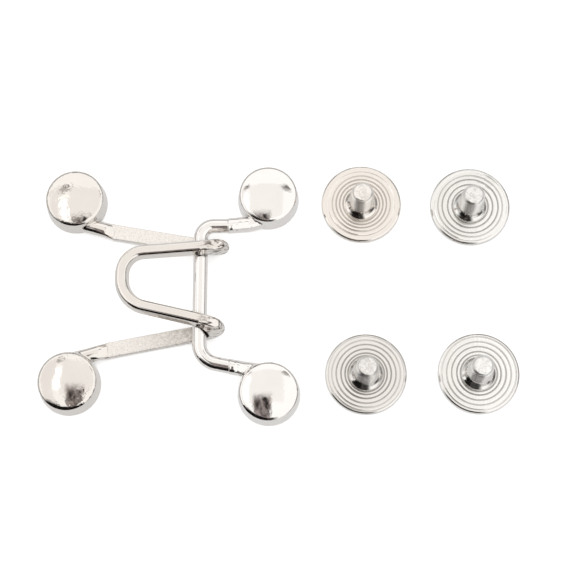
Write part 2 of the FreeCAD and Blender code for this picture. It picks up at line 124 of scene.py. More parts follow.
# -------------------------------------------------------------- hook casting
SLOT_X, SLOT_Z, Z_TOP = -13.45, 2.95, 6.35
STRIP_UP = (-29.20, 11.02, -0.169)
STRIP_LOW = (-29.70, -10.30, 0.193)
NECK_HOOK_UP = stations([(-34.9, 12.33, 1.75, 1.30, 1.30), (-32.6, 11.78, 1.50, 1.30, 1.28),
                         (-30.6, 11.33, 1.36, 1.34, 1.08), (-28.85, 10.97, 0.825, 1.43, 0.71)])
NECK_HOOK_LOW = stations([(-35.1, -11.87, 1.75, 1.30, 1.30), (-33.0, -11.28, 1.50, 1.30, 1.28),
                          (-31.1, -10.72, 1.36, 1.34, 1.08), (-29.35, -10.24, 0.825, 1.43, 0.71)])
BEND_DEG = (-90, -60, -30, 0, 30, 60, 90)
BEND_UP = [(2.75, 3.17, 4.02, 4.86, 4.78, 3.92, 3.40),          # outer radius
           (8.36, 8.14, 7.84, 7.62, 7.42, 7.22, 7.07),          # middle, in Y
           (1.30, 1.33, 1.36, 1.36, 1.34, 1.30, 1.275),         # half width inside
           (1.31, 1.36, 1.38, 1.38, 1.34, 1.22, 1.11),          # half width midway
           (1.24, 1.14, 0.98, 0.86, 0.84, 0.86, 0.89)]          # half width outside
BEND_LOW = [(2.75, 3.12, 3.72, 4.26, 4.28, 3.80, 3.40),
            (-7.14, -6.96, -6.84, -6.72, -6.50, -6.14, -5.72),
            (1.30, 1.33, 1.36, 1.36, 1.34, 1.30, 1.275),
            (1.31, 1.36, 1.38, 1.36, 1.32, 1.22, 1.11),
            (1.24, 1.14, 0.96, 0.82, 0.80, 0.86, 0.89)]
BEND_UP = [smooth_table(BEND_DEG, v) for v in BEND_UP]
BEND_LOW = [smooth_table(BEND_DEG, v) for v in BEND_LOW]


def strip(x, y, z, data):
    sx, sy, slope = data
    c = 1.0 / math.hypot(1.0, slope)
    run = (SLOT_X + 0.7) - sx
    half = 1.36 + (1.30 - 1.36) * np.clip((x - sx) / run, 0.0, 1.0)
    across = np.abs((y - sy - slope * (x - sx)) * c) - half
    d = rmax(across, np.abs(z - 0.825) - 0.625, 0.13)
    return np.maximum(d, np.maximum(sx - x, x - sx - run))


AU, AL = math.radians(4.55), math.radians(13.2)
CU = (-26.86 + 3.90, 7.22 + math.tan(AU) * (-26.86 + 3.90 + 11.60) - 3.90 / math.cos(AU))
CL = (-26.86 + 5.00, -6.11 - math.tan(AL) * (-26.86 + 5.00 + 11.60) + 5.00 / math.cos(AL))


def tongue(x, y, z):
    """Drafted U, flat on top, over the bar."""
    end = SLOT_X + 0.30
    # centre line in plan
    vu = -(x - CU[0]) * math.sin(AU) + (y - CU[1]) * math.cos(AU)
    uu = (x - CU[0]) * math.cos(AU) + (y - CU[1]) * math.sin(AU)
    vl = -(x - CL[0]) * math.sin(AL) - (y - CL[1]) * math.cos(AL)
    ul = (x - CL[0]) * math.cos(AL) - (y - CL[1]) * math.sin(AL)
    big = f32(50.0)
    upper = np.where(uu >= 0, np.abs(vu - 3.90),
                     np.where(y >= CU[1], np.abs(np.hypot(x - CU[0], y - CU[1]) - 3.90), big))
    lower = np.where(ul >= 0, np.abs(vl - 5.00),
                     np.where(y <= CL[1], np.abs(np.hypot(x - CL[0], y - CL[1]) - 5.00), big))
    side = np.where((y < CU[1]) & (y > CL[1]), np.abs(x + 26.86), big)
    d2 = np.minimum(np.minimum(upper, lower), side)
    half = 1.275 - (z - 4.45) * math.tan(math.radians(11.5))
    bevel = (d2 - 0.888) * 0.682 + (z - Z_TOP) * 0.731 + 0.21
    d = rmax(rmax((d2 - half) * 0.98, bevel, 0.10), z - Z_TOP, 0.12)
    d = rmax(d, 4.45 - z, 0.16)
    return np.maximum(d, x - end)


def bend(x, y, z, tables):
    """Rises from a strip, round the end of the slot, into the tongue."""
    dx, dz = x - SLOT_X, z - SLOT_Z
    ahead = np.maximum(dx, 0.0)
    deg = np.degrees(np.arctan2(dz, np.maximum(ahead, 1e-4)))
    rho = np.hypot(ahead, dz)
    r1, yc, w0, w1, w2 = [look_up(deg, t) for t in tables]
    rm = 1.5 + 0.42 * (r1 - 1.5)
    v = np.abs(y - yc)
    l1 = np.hypot(w1 - w0, rm - 1.5)
    d1 = ((v - w0) * (rm - 1.5) - (rho - 1.5) * (w1 - w0)) / l1
    l2 = np.hypot(w2 - w1, r1 - rm)
    d2 = ((v - w1) * (r1 - rm) - (rho - rm) * (w2 - w1)) / l2
    c = np.cos(np.radians(deg))
    d = rmax(-smin(-d1, -d2, 0.25), rho - r1, 0.24 + 0.50 * c * c)
    d = rmax(d, 1.5 - rho, 0.16)
    return np.maximum(d, -dx - 0.02)


def hook_solid(x, y, z):
    b_up = button(x, y, z, -35.65, 16.40)
    b_low = button(x, y, z, -35.80, -16.00)
    up = np.minimum(strip(x, y, z, STRIP_UP), neck(x, y, z, NECK_HOOK_UP))
    low = np.minimum(strip(x, y, z, STRIP_LOW), neck(x, y, z, NECK_HOOK_LOW))
    d = smin(np.minimum(b_up, b_low), np.minimum(up, low), 0.40)
    t = smin(tongue(x, y, z), np.minimum(bend(x, y, z, BEND_UP), bend(x, y, z, BEND_LOW)), 0.10)
    d = smin(d, t, 0.12)
    # small casting pit in the lower strip's edge
    pit = np.sqrt((x + 27.33) ** 2 + (y + 11.25) ** 2 + (z - 1.50) ** 2) - 0.27
    d = -smin(-d, pit, 0.05)
    hole = np.minimum(tapped_hole(x, y, z, -35.65, 16.40), tapped_hole(x, y, z, -35.80, -16.00))
    return np.maximum(d, -hole)


# --------------------------------------------------------------- bar casting
BL = math.radians(11.30)
LX = -13.55 + 3.50
LY = -13.40 - math.tan(BL) * (LX + 8.40) + 3.50 / math.cos(BL)
NECK_BAR_UP = stations([(-8.8, 11.50, 2.95, 1.35, 1.35), (-7.0, 11.75, 2.60, 1.36, 1.36),
                        (-4.9, 12.15, 1.95, 1.36, 1.36), (-2.6, 12.85, 1.85, 1.36, 1.36)])
NECK_BAR_LOW = stations([(-8.4, -13.40, 2.95, 1.35, 1.35), (-6.8, -13.62, 2.60, 1.32, 1.32),
                         (-4.9, -13.80, 1.95, 1.32, 1.32), (-2.9, -14.10, 1.85, 1.32, 1.32)])


def rod(x, y, z):
    """One round rod: upper arm, bend, bar, bend, lower arm."""
    big = f32(50.0)
    # upper arm and bend, centre (-11.30, 9.25), radius 2.25
    a = np.where(x >= -11.30, np.hypot(y - 11.50, np.maximum(x + 8.2, 0.0)),
                 np.where(y >= 9.25, np.abs(np.hypot(x + 11.30, y - 9.25) - 2.25), big))
    b = np.where((y < 9.25) & (y > LY), np.abs(x + 13.55), big)
    ul = (x - LX) * math.cos(BL) - (y - LY) * math.sin(BL)
    vl = -(x - LX) * math.sin(BL) - (y - LY) * math.cos(BL)
    c = np.where(ul >= 0, np.hypot(vl - 3.50, np.maximum(x + 7.8, 0.0)),
                 np.where(y <= LY, np.abs(np.hypot(x - LX, y - LY) - 3.50), big))
    a = np.where(y > 0, a, big)
    c = np.where(y < 0, c, big)
    d2 = np.minimum(np.minimum(a, b), c)
    return np.hypot(d2, z - 2.95) - 1.25


def bar_solid(x, y, z):
    b = np.minimum(button(x, y, z, -1.90, 17.05), button(x, y, z, -1.70, -17.80))
    n = np.minimum(neck(x, y, z, NECK_BAR_UP), neck(x, y, z, NECK_BAR_LOW))
    d = smin(b, n, 0.40)
    d = smin(d, rod(x, y, z), 0.05)
    hole = np.minimum(tapped_hole(x, y, z, -1.90, 17.05), tapped_hole(x, y, z, -1.70, -17.80))
    return np.maximum(d, -hole)


# ------------------------------------------------------------------- meshing
def sampled(solid, xs, ys, zs):
    out = np.empty((len(xs), len(ys), len(zs)), f32)
    for i in range(0, len(xs), 24):
        gx, gy, gz = np.meshgrid(xs[i:i + 24], ys, zs, indexing="ij")
        out[i:i + 24] = solid(gx.astype(f32), gy.astype(f32), gz.astype(f32))
    return out


def gradient(solid, p, eps=0.015):
    g = np.empty_like(p)
    for a in range(3):
        hi, lo = p.copy(), p.copy()
        hi[:, a] += eps
        lo[:, a] -= eps
        g[:, a] = (solid(*hi.T) - solid(*lo.T)) / (2 * eps)
    return g


def net(solid, lo, hi, step):
    """Closed quad mesh of the solid's surface: one vertex in each grid cell
    that the surface crosses, then drawn on to the surface itself."""
    xs, ys, zs = [np.arange(lo[a], hi[a] + step, step) for a in range(3)]
    v = sampled(solid, xs, ys, zs)
    s = v < 0
    n = np.array(v.shape) - 1
    count = np.zeros(n, np.int8)
    corners = [(i, j, k) for i in (0, 1) for j in (0, 1) for k in (0, 1)]
    for i, j, k in corners:
        count += s[i:n[0] + i, j:n[1] + j, k:n[2] + k]
    cells = np.argwhere((count > 0) & (count < 8))
    index = np.full(n, -1, np.int32)
    index[tuple(cells.T)] = np.arange(len(cells))
    total = np.zeros((len(cells), 3))
    hits = np.zeros(len(cells))
    vals = {c: v[cells[:, 0] + c[0], cells[:, 1] + c[1], cells[:, 2] + c[2]].astype(float)
            for c in corners}
    for c in corners:
        for a in range(3):
            if c[a]:
                continue
            d = tuple(1 if b == a else c[b] for b in range(3))
            va, vb = vals[c], vals[d]
            cut = (va < 0) != (vb < 0)
            t = np.where(cut, va / np.where(cut, va - vb, 1.0), 0.0)
            p = np.tile(np.array(c, float), (len(cells), 1))
            p[:, a] += t
            total += p * cut[:, None]
            hits += cut
    p = (cells + total / hits[:, None]) * step + np.array([xs[0], ys[0], zs[0]])
    faces = []
    for a in range(3):
        b, c = (a + 1) % 3, (a + 2) % 3
        sl0 = [slice(None)] * 3
        sl1 = [slice(None)] * 3
        sl0[a], sl1[a] = slice(0, n[a]), slice(1, n[a] + 1)
        for q in (b, c):
            sl0[q] = sl1[q] = slice(1, n[q])
        s0, s1 = s[tuple(sl0)], s[tuple(sl1)]
        at = np.argwhere(s0 != s1)
        out = s0[tuple(at.T)]
        at[:, b] += 1
        at[:, c] += 1
        quad = []
        for ob, oc in ((1, 1), (0, 1), (0, 0), (1, 0)):
            w = at.copy()
            w[:, b] -= ob
            w[:, c] -= oc
            quad.append(index[tuple(w.T)])
        quad = np.stack(quad, 1)
        quad[~out] = quad[~out][:, ::-1]
        faces.append(quad)
    faces = np.concatenate(faces)
    for _ in range(3):
        d = solid(*p.T)
        g = gradient(solid, p)
        move = d[:, None] * g / np.maximum((g * g).sum(1), 0.2)[:, None]
        far = np.linalg.norm(move, axis=1)
        move *= np.minimum(1.0, 0.35 * step / np.maximum(far, 1e-9))[:, None]
        p -= move
    normals = gradient(solid, p)
    normals /= np.maximum(np.linalg.norm(normals, axis=1), 1e-9)[:, None]
    return p, faces, normals


def make_mesh(name, p, faces, normals=None):
    me = bpy.data.meshes.new(name)
    me.vertices.add(len(p))
    me.vertices.foreach_set("co", (np.asarray(p) * MM).astype(f32).ravel())
    faces = np.asarray(faces, np.int32)
    me.loops.add(faces.size)
    me.loops.foreach_set("vertex_index", faces.ravel())
    me.polygons.add(len(faces))
    me.polygons.foreach_set("loop_start", np.arange(0, faces.size, faces.shape[1], dtype=np.int32))
    me.update(calc_edges=True)
    me.validate()
    me.polygons.foreach_set("use_smooth", np.ones(len(me.polygons), bool))
    if normals is not None and len(me.vertices) == len(normals):
        me.normals_split_custom_set_from_vertices([tuple(v) for v in normals])
    me.update()
    ob = bpy.data.objects.new(name, me)
    bpy.context.scene.collection.objects.link(ob)
    return ob


STEP = 0.155
p, faces, normals = net(hook_solid, (-41.4, -21.7, -0.25), (-8.2, 22.1, 6.6), STEP)
hook_piece = make_mesh("hook_casting", p, faces, normals)
print("hook_casting", len(p), "vertices", 2 * len(faces), "triangles")
p, faces, normals = net(bar_solid, (-15.1, -23.5, -0.25), (3.9, 22.8, 5.1), STEP)
bar_piece = make_mesh("bar_casting", p, faces, normals)
print("bar_casting", len(p), "vertices", 2 * len(faces), "triangles")


# ------------------------------------------------------------ backing studs
def rounded(points, radii, n=5):
    """Polyline of (r, z) corners with an arc of its radius at each."""
    out = []
    pts = [np.array(q, float) for q in points]
    for i, q in enumerate(pts):
        rad = radii[i]
        if rad <= 0 or i in (0, len(pts) - 1):
            out.append(tuple(q))
            continue
        a, b = pts[i - 1] - q, pts[i + 1] - q
        la, lb = np.linalg.norm(a), np.linalg.norm(b)
        a, b = a / la, b / lb
        half = math.acos(float(np.clip(a @ b, -1, 1))) / 2
        cut = min(rad / max(math.tan(half), 1e-6), 0.45 * la, 0.45 * lb)
        p0, p1 = q + a * cut, q + b * cut
        for k in range(n + 1):
            t = k / n
            out.append(tuple((1 - t) ** 2 * p0 + 2 * t * (1 - t) * q + t * t * p1))
    return out


def stud_profile(grooves, depths):
    """From the middle of the underside out, over the rim, in to the post."""
    top = 1.0
    pts, rad = [(0.0, 0.0), (7.0, 0.0), (7.0, 0.66), (6.86, 0.85), (6.66, top)], [0, 0.30, 0.05, 0.05, 0.05]
    for g, deep in sorted(zip(grooves, depths), reverse=True):
        pts += [(g + 0.14, top), (g + 0.03, top - deep), (g - 0.03, top - deep), (g - 0.14, top)]
        rad += [0.05, 0.03, 0.03, 0.05]
    # flared foot, a little hollow, up to the post
    pts += [(2.88, top - 0.03), (2.84, 1.02), (2.45, 1.34), (2.14, 1.66), (1.97, 1.85), (1.97, 1.87)]
    rad += [0.03, 0.04, 0.3, 0.3, 0.03, 0.0]
    return rounded(pts, rad)


PITCH, CREST, ROOT, FOOT, TOP = 0.7, 1.97, 1.62, 1.88, 7.44


def stud_mesh(name, cx, cy, grooves, depths, turn):
    seg = 192
    ang = np.linspace(0, 2 * np.pi, seg, endpoint=False)
    prof = stud_profile(grooves, depths)
    verts = [np.array([[0.0, 0.0, 0.0]])]
    for r, z in prof[1:]:
        verts.append(np.stack([r * np.cos(ang), r * np.sin(ang), np.full(seg, z)], 1))
    # right-hand thread on the post, run out at the foot and at the tip
    zs = np.arange(FOOT, TOP - 0.30, PITCH / 14)
    for z in zs:
        ph = np.mod(z / PITCH - ang / (2 * np.pi) + turn, 1.0)
        tri = np.abs(ph - 0.5) * 2.0
        tooth = np.clip(tri * 1.28 - 0.14, 0.0, 1.0)
        tooth = tooth * tooth * (3 - 2 * tooth) * 0.35 + tooth * 0.65
        depth_here = np.clip((z - FOOT - 0.05) / 0.45, 0.0, 1.0)
        r = CREST - (CREST - ROOT) * (1 - tooth) * depth_here
        # chamfer of the tip cuts the last threads
        r = np.minimum(r, 1.43 + (TOP - z) * 1.00)
        verts.append(np.stack([r * np.cos(ang), r * np.sin(ang), np.full(seg, z)], 1))
    for r, z in ((1.63, TOP - 0.20), (1.53, TOP - 0.10), (1.46, TOP - 0.035), (1.39, TOP - 0.01)):
        verts.append(np.stack([r * np.cos(ang), r * np.sin(ang), np.full(seg, z)], 1))
    for r, z in ((1.30, TOP), (1.1, TOP), (0.5, TOP)):
        verts.append(np.stack([r * np.cos(ang), r * np.sin(ang), np.full(seg, z)], 1))
    verts.append(np.array([[0.0, 0.0, TOP]]))
    p = np.concatenate(verts)
    p[:, 0] += cx
    p[:, 1] += cy
    n_ring = len(verts) - 2
    k = np.arange(seg)
    k2 = (k + 1) % seg
    me = bpy.data.meshes.new(name)
    faces = []
    for i in range(n_ring - 1):
        a, b = 1 + i * seg, 1 + (i + 1) * seg
        faces.append(np.stack([a + k, a + k2, b + k2, b + k], 1))
    quads = np.concatenate(faces).tolist()
    last = len(p) - 1
    a = 1 + (n_ring - 1) * seg
    tris = [[0, 1 + int(k2[i]), 1 + int(k[i])] for i in range(seg)]
    tris += [[a + int(k[i]), a + int(k2[i]), last] for i in range(seg)]
    me.from_pydata((p * MM).tolist(), [], quads + tris)
    me.validate()
    me.polygons.foreach_set("use_smooth", np.ones(len(me.polygons), bool))
    me.update()
    ob = bpy.data.objects.new(name, me)
    bpy.context.scene.collection.objects.link(ob)
    return ob


# node, middle, radii and depths of the ridges' grooves, start of the thread, tint
STUDS = [
    ("stud_upper_inner", 14.45, 16.15, (3.20, 3.80, 4.42, 5.10, 5.80), (0.15, 0.15, 0.15, 0.12, 0.06),
     0.10, (0.905, 0.862, 0.815)),
    ("stud_upper_outer", 33.55, 15.65, (3.15, 3.95, 4.90, 5.65, 6.30), (0.17, 0.17, 0.17, 0.13, 0.06),
     0.45, (0.885, 0.872, 0.850)),
    ("stud_lower_inner", 14.90, -14.30, (3.12, 3.60, 4.30, 5.10, 5.85, 6.40),
     (0.17, 0.17, 0.17, 0.15, 0.11, 0.06), 0.80, (0.870, 0.850, 0.825)),
    ("stud_lower_outer", 34.15, -14.25, (3.15, 3.78, 4.65, 5.50, 6.35), (0.17, 0.17, 0.16, 0.14, 0.10),
     0.30, (0.905, 0.890, 0.870)),
]
stud_pieces = []
for label, cx, cy, grooves, depths, turn, tint in STUDS:
    ob = stud_mesh(label + "_turned", cx, cy, grooves, depths, turn)
    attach(ob, "hook")
    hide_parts(label)
    stud_pieces.append(ob)
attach(hook_piece, "hook")
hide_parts("hook_half")
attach(bar_piece, "bar")
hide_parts("bar_half")


# ------------------------------------------------------------------ materials
def node(tree, kind, x=0, y=0, **values):
    n = tree.nodes.new(kind)
    n.location = (x, y)
    for k, v in values.items():
        if hasattr(n, k):
            setattr(n, k, v)
    return n


def nickel(name, tint, dull, grain=None, haze=1.0, peel=0.3, stud=False):
    """Bright nickel plate.  Base colour, roughness and bump all vary with
    place, in the piece's own coordinates, so that nothing slides; the base colour also carries painted
    shade, from ambient occlusion in the corners and as dark streaks on the hook's bends."""
    mat = bpy.data.materials.new(name)
    mat.use_nodes = True
    t = mat.node_tree
    t.nodes.clear()
    out = node(t, "ShaderNodeOutputMaterial", 900)
    sh = node(t, "ShaderNodeBsdfPrincipled", 600)
    t.links.new(sh.outputs["BSDF"], out.inputs["Surface"])
    sh.inputs["Metallic"].default_value = 1.0
    co = node(t, "ShaderNodeTexCoord", -1200)
    # broad mottling of the plate, about 3 mm across
    broad = node(t, "ShaderNodeTexNoise", -900, 300)
    broad.inputs["Scale"].default_value = 330.0
    broad.inputs["Detail"].default_value = 3.0
    t.links.new(co.outputs["Object"], broad.inputs["Vector"])
    # fine specks, about 0.2 mm
    fine = node(t, "ShaderNodeTexNoise", -900, 0)
    fine.inputs["Scale"].default_value = 4200.0
    fine.inputs["Detail"].default_value = 4.0
    t.links.new(co.outputs["Object"], fine.inputs["Vector"])
    ramp = node(t, "ShaderNodeValToRGB", -600, 300)
    ramp.color_ramp.elements[0].position = 0.30
    ramp.color_ramp.elements[1].position = 0.72
    ramp.color_ramp.elements[0].color = (*[c * 0.965 for c in tint], 1)
    ramp.color_ramp.elements[1].color = (*tint, 1)
    t.links.new(broad.outputs["Fac"], ramp.inputs["Fac"])
    rough = node(t, "ShaderNodeMapRange", -600, 0)
    rough.inputs["From Min"].default_value = 0.30
    rough.inputs["From Max"].default_value = 0.75
    rough.inputs["To Min"].default_value = dull
    rough.inputs["To Max"].default_value = dull + 0.05 * haze
    t.links.new(fine.outputs["Fac"], rough.inputs["Value"])
    colour, roughness = ramp.outputs["Color"], rough.outputs["Result"]
    bump = node(t, "ShaderNodeBump", 300, -300)
    bump.inputs["Distance"].default_value = 0.00002
    bump.inputs["Strength"].default_value = 0.10 * haze
    height = fine.outputs["Fac"]
    if grain:
        mask, strength = grain(t, co)
        dark = node(t, "ShaderNodeMix", 0, 300, data_type="RGBA")
        grit = node(t, "ShaderNodeTexNoise", -300, 600)
        grit.inputs["Scale"].default_value = 3600.0
        grit.inputs["Detail"].default_value = 5.0
        grit.inputs["Roughness"].default_value = 0.7
        t.links.new(co.outputs["Object"], grit.inputs["Vector"])
        gr = node(t, "ShaderNodeValToRGB", -100, 600)
        gr.color_ramp.elements[0].position = 0.36
        gr.color_ramp.elements[1].position = 0.62
        gr.color_ramp.elements[0].color = (*[c * 0.88 + 0.03 for c in tint], 1)
        gr.color_ramp.elements[1].color = (*[c * 0.80 + 0.28 for c in tint], 1)
        t.links.new(grit.outputs["Fac"], gr.inputs["Fac"])
        t.links.new(mask, dark.inputs["Factor"])
        t.links.new(colour, dark.inputs["A"])
        t.links.new(gr.outputs["Color"], dark.inputs["B"])
        colour = dark.outputs["Result"]
        place = node(t, "ShaderNodeSeparateXYZ", -1000, 1700)
        t.links.new(co.outputs["Object"], place.inputs["Vector"])
        inward = node(t, "ShaderNodeMapRange", -800, 1700)
        inward.inputs["From Min"].default_value = -0.0255
        inward.inputs["From Max"].default_value = -0.0150
        t.links.new(place.outputs["X"], inward.inputs["Value"])
        below = node(t, "ShaderNodeMapRange", -800, 1900)
        below.inputs["From Min"].default_value = 0.0
        below.inputs["From Max"].default_value = -0.0010
        t.links.new(place.outputs["Y"], below.inputs["Value"])
        m1 = node(t, "ShaderNodeMath", -600, 1800, operation="MULTIPLY")
        t.links.new(inward.outputs["Result"], m1.inputs[0])
        t.links.new(below.outputs["Result"], m1.inputs[1])
        m2 = node(t, "ShaderNodeMath", -450, 1800, operation="MULTIPLY")
        t.links.new(m1.outputs["Value"], m2.inputs[0])
        t.links.new(mask, m2.inputs[1])
        coarse = node(t, "ShaderNodeTexNoise", -600, 2050)
        coarse.inputs["Scale"].default_value = 2300.0
        coarse.inputs["Detail"].default_value = 4.0
        coarse.inputs["Roughness"].default_value = 0.65
        t.links.new(co.outputs["Object"], coarse.inputs["Vector"])
        cg = node(t, "ShaderNodeValToRGB", -400, 2050)
        cg.color_ramp.elements[0].position = 0.38
        cg.color_ramp.elements[1].position = 0.60
        cg.color_ramp.elements[0].color = (0.66, 0.64, 0.62, 1)
        cg.color_ramp.elements[1].color = (1, 1, 1, 1)
        t.links.new(coarse.outputs["Fac"], cg.inputs["Fac"])
        grimy = node(t, "ShaderNodeMix", 100, 900, data_type="RGBA", blend_type="MULTIPLY")
        t.links.new(m2.outputs["Value"], grimy.inputs["Factor"])
        t.links.new(colour, grimy.inputs["A"])
        t.links.new(cg.outputs["Color"], grimy.inputs["B"])
        colour = grimy.outputs["Result"]
        rr = node(t, "ShaderNodeMix", 0, 0, data_type="FLOAT")
        rr.inputs["B"].default_value = 0.42
        t.links.new(mask, rr.inputs["Factor"])
        t.links.new(roughness, rr.inputs["A"])
        roughness = rr.outputs["Result"]
        hh = node(t, "ShaderNodeMix", 0, -300, data_type="FLOAT")
        hh.inputs["A"].default_value = 0.5
        t.links.new(mask, hh.inputs["Factor"])
        t.links.new(grit.outputs["Fac"], hh.inputs["B"])
        b2 = node(t, "ShaderNodeBump", 100, -500)
        b2.inputs["Distance"].default_value = 0.00004
        b2.inputs["Strength"].default_value = strength
        t.links.new(hh.outputs["Result"], b2.inputs["Height"])
        t.links.new(b2.outputs["Normal"], bump.inputs["Normal"])
        # painted shade and dark reflection: dark streaks on the hook where the tongue turns over the bar
        sx = node(t, "ShaderNodeSeparateXYZ", -1000, 1300)
        t.links.new(co.outputs["Object"], sx.inputs["Vector"])
        there = node(t, "ShaderNodeMapRange", -800, 1300)
        there.inputs["From Min"].default_value = -0.0142
        there.inputs["From Max"].default_value = -0.0116
        t.links.new(sx.outputs["X"], there.inputs["Value"])
        drawn = node(t, "ShaderNodeMapping", -900, 1500)
        drawn.inputs["Scale"].default_value = (0.32, 1.0, 1.0)
        t.links.new(co.outputs["Object"], drawn.inputs["Vector"])
        streak = node(t, "ShaderNodeTexNoise", -700, 1500)
        streak.inputs["Scale"].default_value = 1900.0
        streak.inputs["Detail"].default_value = 3.0
        streak.inputs["Distortion"].default_value = 0.8
        t.links.new(drawn.outputs["Vector"], streak.inputs["Vector"])
        sr = node(t, "ShaderNodeValToRGB", -500, 1500)
        sr.color_ramp.elements[0].position = 0.38
        sr.color_ramp.elements[1].position = 0.50
        sr.color_ramp.elements[0].color = (0.16, 0.14, 0.13, 1)
        sr.color_ramp.elements[1].color = (1, 1, 1, 1)
        t.links.new(streak.outputs["Fac"], sr.inputs["Fac"])
        painted_bend_shade = node(t, "ShaderNodeMix", 150, 700, data_type="RGBA", blend_type="MULTIPLY")
        t.links.new(there.outputs["Result"], painted_bend_shade.inputs["Factor"])
        t.links.new(colour, painted_bend_shade.inputs["A"])
        t.links.new(sr.outputs["Color"], painted_bend_shade.inputs["B"])
        colour = painted_bend_shade.outputs["Result"]
    if stud:
        sep = node(t, "ShaderNodeSeparateXYZ", -1000, 700)
        t.links.new(co.outputs["Object"], sep.inputs["Vector"])
        # the rolled thread is duller than the disc
        shank = node(t, "ShaderNodeMapRange", -800, 700)
        shank.inputs["From Min"].default_value = 0.0019
        shank.inputs["From Max"].default_value = 0.0023
        t.links.new(sep.outputs["Z"], shank.inputs["Value"])
        rr = node(t, "ShaderNodeMix", 0, 0, data_type="FLOAT")
        rr.inputs["B"].default_value = 0.30
        t.links.new(shank.outputs["Result"], rr.inputs["Factor"])
        t.links.new(roughness, rr.inputs["A"])
        roughness = rr.outputs["Result"]
        # the cropped end of the post is blotched
        tip = node(t, "ShaderNodeMapRange", -800, 900)
        tip.inputs["From Min"].default_value = 0.00728
        tip.inputs["From Max"].default_value = 0.00740
        t.links.new(sep.outputs["Z"], tip.inputs["Value"])
        blot = node(t, "ShaderNodeTexNoise", -800, 1100)
        blot.inputs["Scale"].default_value = 1500.0
        blot.inputs["Detail"].default_value = 4.0
        blot.inputs["Distortion"].default_value = 1.2
        t.links.new(co.outputs["Object"], blot.inputs["Vector"])
        tone = node(t, "ShaderNodeValToRGB", -600, 1100)
        tone.color_ramp.elements[0].position = 0.40
        tone.color_ramp.elements[1].position = 0.56
        tone.color_ramp.elements[0].color = (*[c * 0.80 for c in tint], 1)
        tone.color_ramp.elements[1].color = (*[c * 0.80 + 0.20 for c in tint], 1)
        t.links.new(blot.outputs["Fac"], tone.inputs["Fac"])
        end = node(t, "ShaderNodeMix", 0, 300, data_type="RGBA")
        t.links.new(tip.outputs["Result"], end.inputs["Factor"])
        t.links.new(colour, end.inputs["A"])
        t.links.new(tone.outputs["Color"], end.inputs["B"])
        colour = end.outputs["Result"]
    # orange peel of the plate: ripples about 0.8 mm long
    ripple = node(t, "ShaderNodeTexNoise", -300, -700)
    ripple.inputs["Scale"].default_value = 1150.0
    ripple.inputs["Detail"].default_value = 2.0
    ripple.inputs["Distortion"].default_value = 0.6
    t.links.new(co.outputs["Object"], ripple.inputs["Vector"])
    patchy = node(t, "ShaderNodeMapRange", -300, -950)
    patchy.inputs["From Min"].default_value = 0.40
    patchy.inputs["From Max"].default_value = 0.62
    patchy.inputs["To Min"].default_value = 0.15
    t.links.new(broad.outputs["Fac"], patchy.inputs["Value"])
    waves = node(t, "ShaderNodeMath", -100, -800, operation="MULTIPLY")
    t.links.new(ripple.outputs["Fac"], waves.inputs[0])
    t.links.new(patchy.outputs["Result"], waves.inputs[1])
    swell = waves.outputs["Value"]
    if grain:
        # full strength on the four domes only, the walls and tongue are smoother
        spot = node(t, "ShaderNodeSeparateXYZ", -500, -1200)
        t.links.new(co.outputs["Object"], spot.inputs["Vector"])
        aside = node(t, "ShaderNodeMath", -300, -1150, operation="ABSOLUTE")
        t.links.new(spot.outputs["Y"], aside.inputs[0])
        out_there = node(t, "ShaderNodeMapRange", -150, -1150)
        out_there.inputs["From Min"].default_value = 0.0106
        out_there.inputs["From Max"].default_value = 0.0112
        t.links.new(aside.outputs["Value"], out_there.inputs["Value"])
        up_there = node(t, "ShaderNodeMapRange", -150, -1400)
        up_there.inputs["From Min"].default_value = 0.0034
        up_there.inputs["From Max"].default_value = 0.0038
        t.links.new(spot.outputs["Z"], up_there.inputs["Value"])
        dome = node(t, "ShaderNodeMath", 50, -1200, operation="MULTIPLY")
        t.links.new(out_there.outputs["Result"], dome.inputs[0])
        t.links.new(up_there.outputs["Result"], dome.inputs[1])
        share = node(t, "ShaderNodeMapRange", 200, -1200)
        share.inputs["To Min"].default_value = 0.22
        t.links.new(dome.outputs["Value"], share.inputs["Value"])
        damped = node(t, "ShaderNodeMath", 300, -900, operation="MULTIPLY")
        t.links.new(swell, damped.inputs[0])
        t.links.new(share.outputs["Result"], damped.inputs[1])
        swell = damped.outputs["Value"]
    b3 = node(t, "ShaderNodeBump", 450, -600)
    b3.inputs["Distance"].default_value = 0.00006
    b3.inputs["Strength"].default_value = peel
    t.links.new(swell, b3.inputs["Height"])
    t.links.new(bump.outputs["Normal"], b3.inputs["Normal"])
    t.links.new(height, bump.inputs["Height"])
    # painted shade: base colour darkened where ambient occlusion finds corners, grooves and contact with
    # the floor and the other piece
    shut = node(t, "ShaderNodeAmbientOcclusion", -300, 950, samples=6)
    shut.inputs["Distance"].default_value = 0.0004 if stud else 0.0012
    ao_shade = node(t, "ShaderNodeMapRange", -100, 950)
    ao_shade.inputs["From Min"].default_value = 0.40 if stud else 0.26
    ao_shade.inputs["From Max"].default_value = 0.78 if stud else 0.72
    ao_shade.inputs["To Min"].default_value = 0.36 if stud else 0.08
    t.links.new(shut.outputs["AO"], ao_shade.inputs["Value"])
    painted_corner_shade = node(t, "ShaderNodeMix", 300, 500, data_type="RGBA", blend_type="MULTIPLY")
    painted_corner_shade.inputs["Factor"].default_value = 1.0
    t.links.new(colour, painted_corner_shade.inputs["A"])
    t.links.new(ao_shade.outputs["Result"], painted_corner_shade.inputs["B"])
    colour = painted_corner_shade.outputs["Result"]
    t.links.new(colour, sh.inputs["Base Color"])
    t.links.new(roughness, sh.inputs["Roughness"])
    t.links.new(b3.outputs["Normal"], sh.inputs["Normal"])
    return mat


